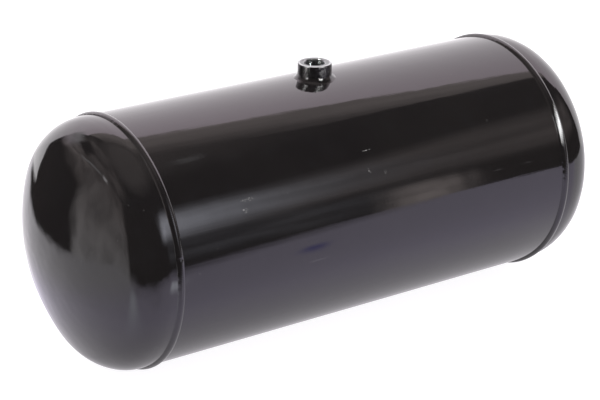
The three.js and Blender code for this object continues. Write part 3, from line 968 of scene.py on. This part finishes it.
def make_key_light():
    light = bpy.data.lights.new("overhead", "AREA")
    light.shape = "SQUARE"
    light.size = 3.0
    light.energy = 75
    lamp = bpy.data.objects.new("overhead", light)
    lamp.location = (0, 0, 2.6)
    lamp.visible_glossy = False
    bpy.context.scene.collection.objects.link(lamp)


def aim_lamp(name, target, azimuth, elevation, distance, half_angles, radiance, lit):
    """A small lamp that only the gloss of the given pieces sees."""
    light = bpy.data.lights.new(name, "AREA")
    light.shape = "RECTANGLE"
    light.size = 2 * distance * math.tan(math.radians(half_angles[0]))
    light.size_y = 2 * distance * math.tan(math.radians(half_angles[1]))
    light.energy = radiance * math.pi * light.size * light.size_y
    lamp = bpy.data.objects.new(name, light)
    away = direction(azimuth, elevation)
    across = away.cross(Vector((0, 0, 1))).normalized()
    turn = Matrix((across, away.cross(across) * -1, away)).transposed()
    lamp.matrix_world = Matrix.Translation(target + away * distance) @ turn.to_4x4()
    lamp.visible_camera = False
    lamp.visible_diffuse = False
    bpy.context.scene.collection.objects.link(lamp)
    group = bpy.data.collections.new(f"{name}_receiver")
    for thing in lit:
        group.objects.link(thing)
    lamp.light_linking.receiver_collection = group


AHEAD = direction(math.degrees(YAW), 0)
RIGHT = direction(math.degrees(YAW) + 90, 0)
LEFT_END = Vector((-0.28, -0.03, 0.0))
LEFT_FLANK = Vector((-0.20, -0.11, 0.05))
MID_FLANK = Vector((0.05, -0.12, 0.03))
RIGHT_BEAD = Vector((SEAM_X, -0.11, 0.06))
TOP_BOSS = Vector((BOSS_X, 0, BOSS_RIM))
WHITE = (1.0, 0.975, 1.0)
PINK = (1.0, 0.86, 0.955)
WARM = (1.0, 0.87, 0.85)
COOL = (0.93, 0.94, 1.06)
BLUE = (0.40, 0.38, 1.0)

make_camera()
make_floor()
make_table()
make_world()
make_key_light()

# A white backdrop behind the tank, brightest at its top, with the wall above it fading away.
up = Vector((0, 0, 1))
make_panel("backdrop", AHEAD * 0.651 + RIGHT * 0.11 + up * 0.52, RIGHT, up, (1.19, 0.66),
           (WHITE, PINK), (1.62, 2.35), (0.03, 0.05))
make_panel("wall_above", AHEAD * 0.68 + RIGHT * 0.11 + up * 1.78, RIGHT, up, (1.19, 0.64),
           (WARM, WARM), (1.0, 0.30), (0.10, 0.06), 0.15)
hang_panel("backdrop_wing", LEFT_END, -17, 30, 1.3, (15, 15), (PINK, WHITE), (1.1, 1.3), (0.7, 0.7))
hang_panel("side_wall", LEFT_END, -38, 24, 1.5, (24, 11), (WARM, WARM), (0.55, 0.75), (0.5, 0.7), 0.4)
hang_panel("left_wall", LEFT_END, -81, 6, 1.2, (29, 36), (WHITE, WARM), (1.30, 0.55), (0.34, 0.25), 0.3)
hang_panel("left_ceiling", LEFT_END, -66, 47, 2.2, (42, 24), (WARM, WARM), (0.42, 0.42), (0.6, 0.6), 0.5)
hang_panel("dark_flag", LEFT_END, -36, 43, 1.0, (10, 9), (WARM, WARM), (0.03, 0.03), (0.5, 0.5))
hang_strip("left_strip", LEFT_END, (-38, 26), (-76, 39), 1.1, 1.9, WHITE, 1.3)
hang_panel("left_spot", LEFT_END, -77, 39, 1.05, (4.5, 3.5), (WHITE, WHITE), (3.2, 3.2), (0.8, 0.8))
# The window at the front right, with the haze round it.
hang_panel("window", LEFT_FLANK, 157, 25, 2.3, (15.5, 17), (COOL, COOL), (3.7, 4.1), (0.95, 0.95))
hang_panel("window_haze", LEFT_FLANK, 150, 25, 2.4, (17, 14), (COOL, COOL), (1.3, 1.3), (1.0, 0.9), 0.3)
hang_panel("front_haze", MID_FLANK, 130, 24, 2.6, (28, 16), (WARM, WARM), (0.45, 0.45), (0.5, 0.6), 0.3)
hang_panel("front_low_haze", LEFT_FLANK, 150, 3, 2.6, (14, 14), (COOL, COOL), (0.3, 0.3), (0.8, 0.8), 0.5)
hang_panel("low_glow", MID_FLANK, 144, 0, 1.5, (4.2, 12), (WARM, WARM), (1.7, 1.5), (0.9, 0.6), 0.2)
hang_strip("ceiling_strip", LEFT_FLANK, (94, 62), (106, 60), 1.3, 1.0, WHITE, 0.75)
lay_panel("floor_glint", -0.44, -0.15, -105, (0.055, 0.17), (COOL, COOL), (2.1, 2.1), (1.0, 1.0))
lay_panel("floor_glint_right", -0.11, -0.39, 150, (0.045, 0.11), (COOL, COOL), (3.4, 3.4))
lay_panel("blue_cloth", 0.107, -0.398, 145, (0.026, 0.095), (BLUE, BLUE), (1.25, 1.25), (1.0, 1.0))
# Small lamps for the glints in the bore, on the boss's side, on its fillet and on the girth beads.
boss = [bpy.data.objects["top_boss_threaded"]]
fillet = [bpy.data.objects["top_boss_fillet"]]
aim_lamp("bore_lamp_left", TOP_BOSS, -97, 33, 1.5, (6, 7), 110, boss)
aim_lamp("bore_lamp_right", TOP_BOSS, 164, 33, 1.5, (6, 7), 190, boss)
aim_lamp("fillet_lamp_left", TOP_BOSS, -92, 34, 1.5, (5, 9), 13, fillet)
aim_lamp("fillet_lamp_right", TOP_BOSS, 163, 31, 1.5, (11, 7), 36, fillet)
aim_lamp("boss_streak_left", TOP_BOSS, -89, 7, 1.5, (4, 7), 800, boss)
aim_lamp("boss_streak_right", TOP_BOSS, 158, 6, 1.5, (8, 7), 26, boss)
beads = [bpy.data.objects[name] for name in ("left_girth_bead", "right_girth_bead")]
aim_lamp("bead_lamp", RIGHT_BEAD, 166, 30, 1.5, (50, 8), 27, beads[1:])
aim_lamp("bead_strip", LEFT_FLANK, 62, 20, 2.5, (20, 14), 2.4, beads)

bpy.context.scene.view_settings.view_transform = "Standard"
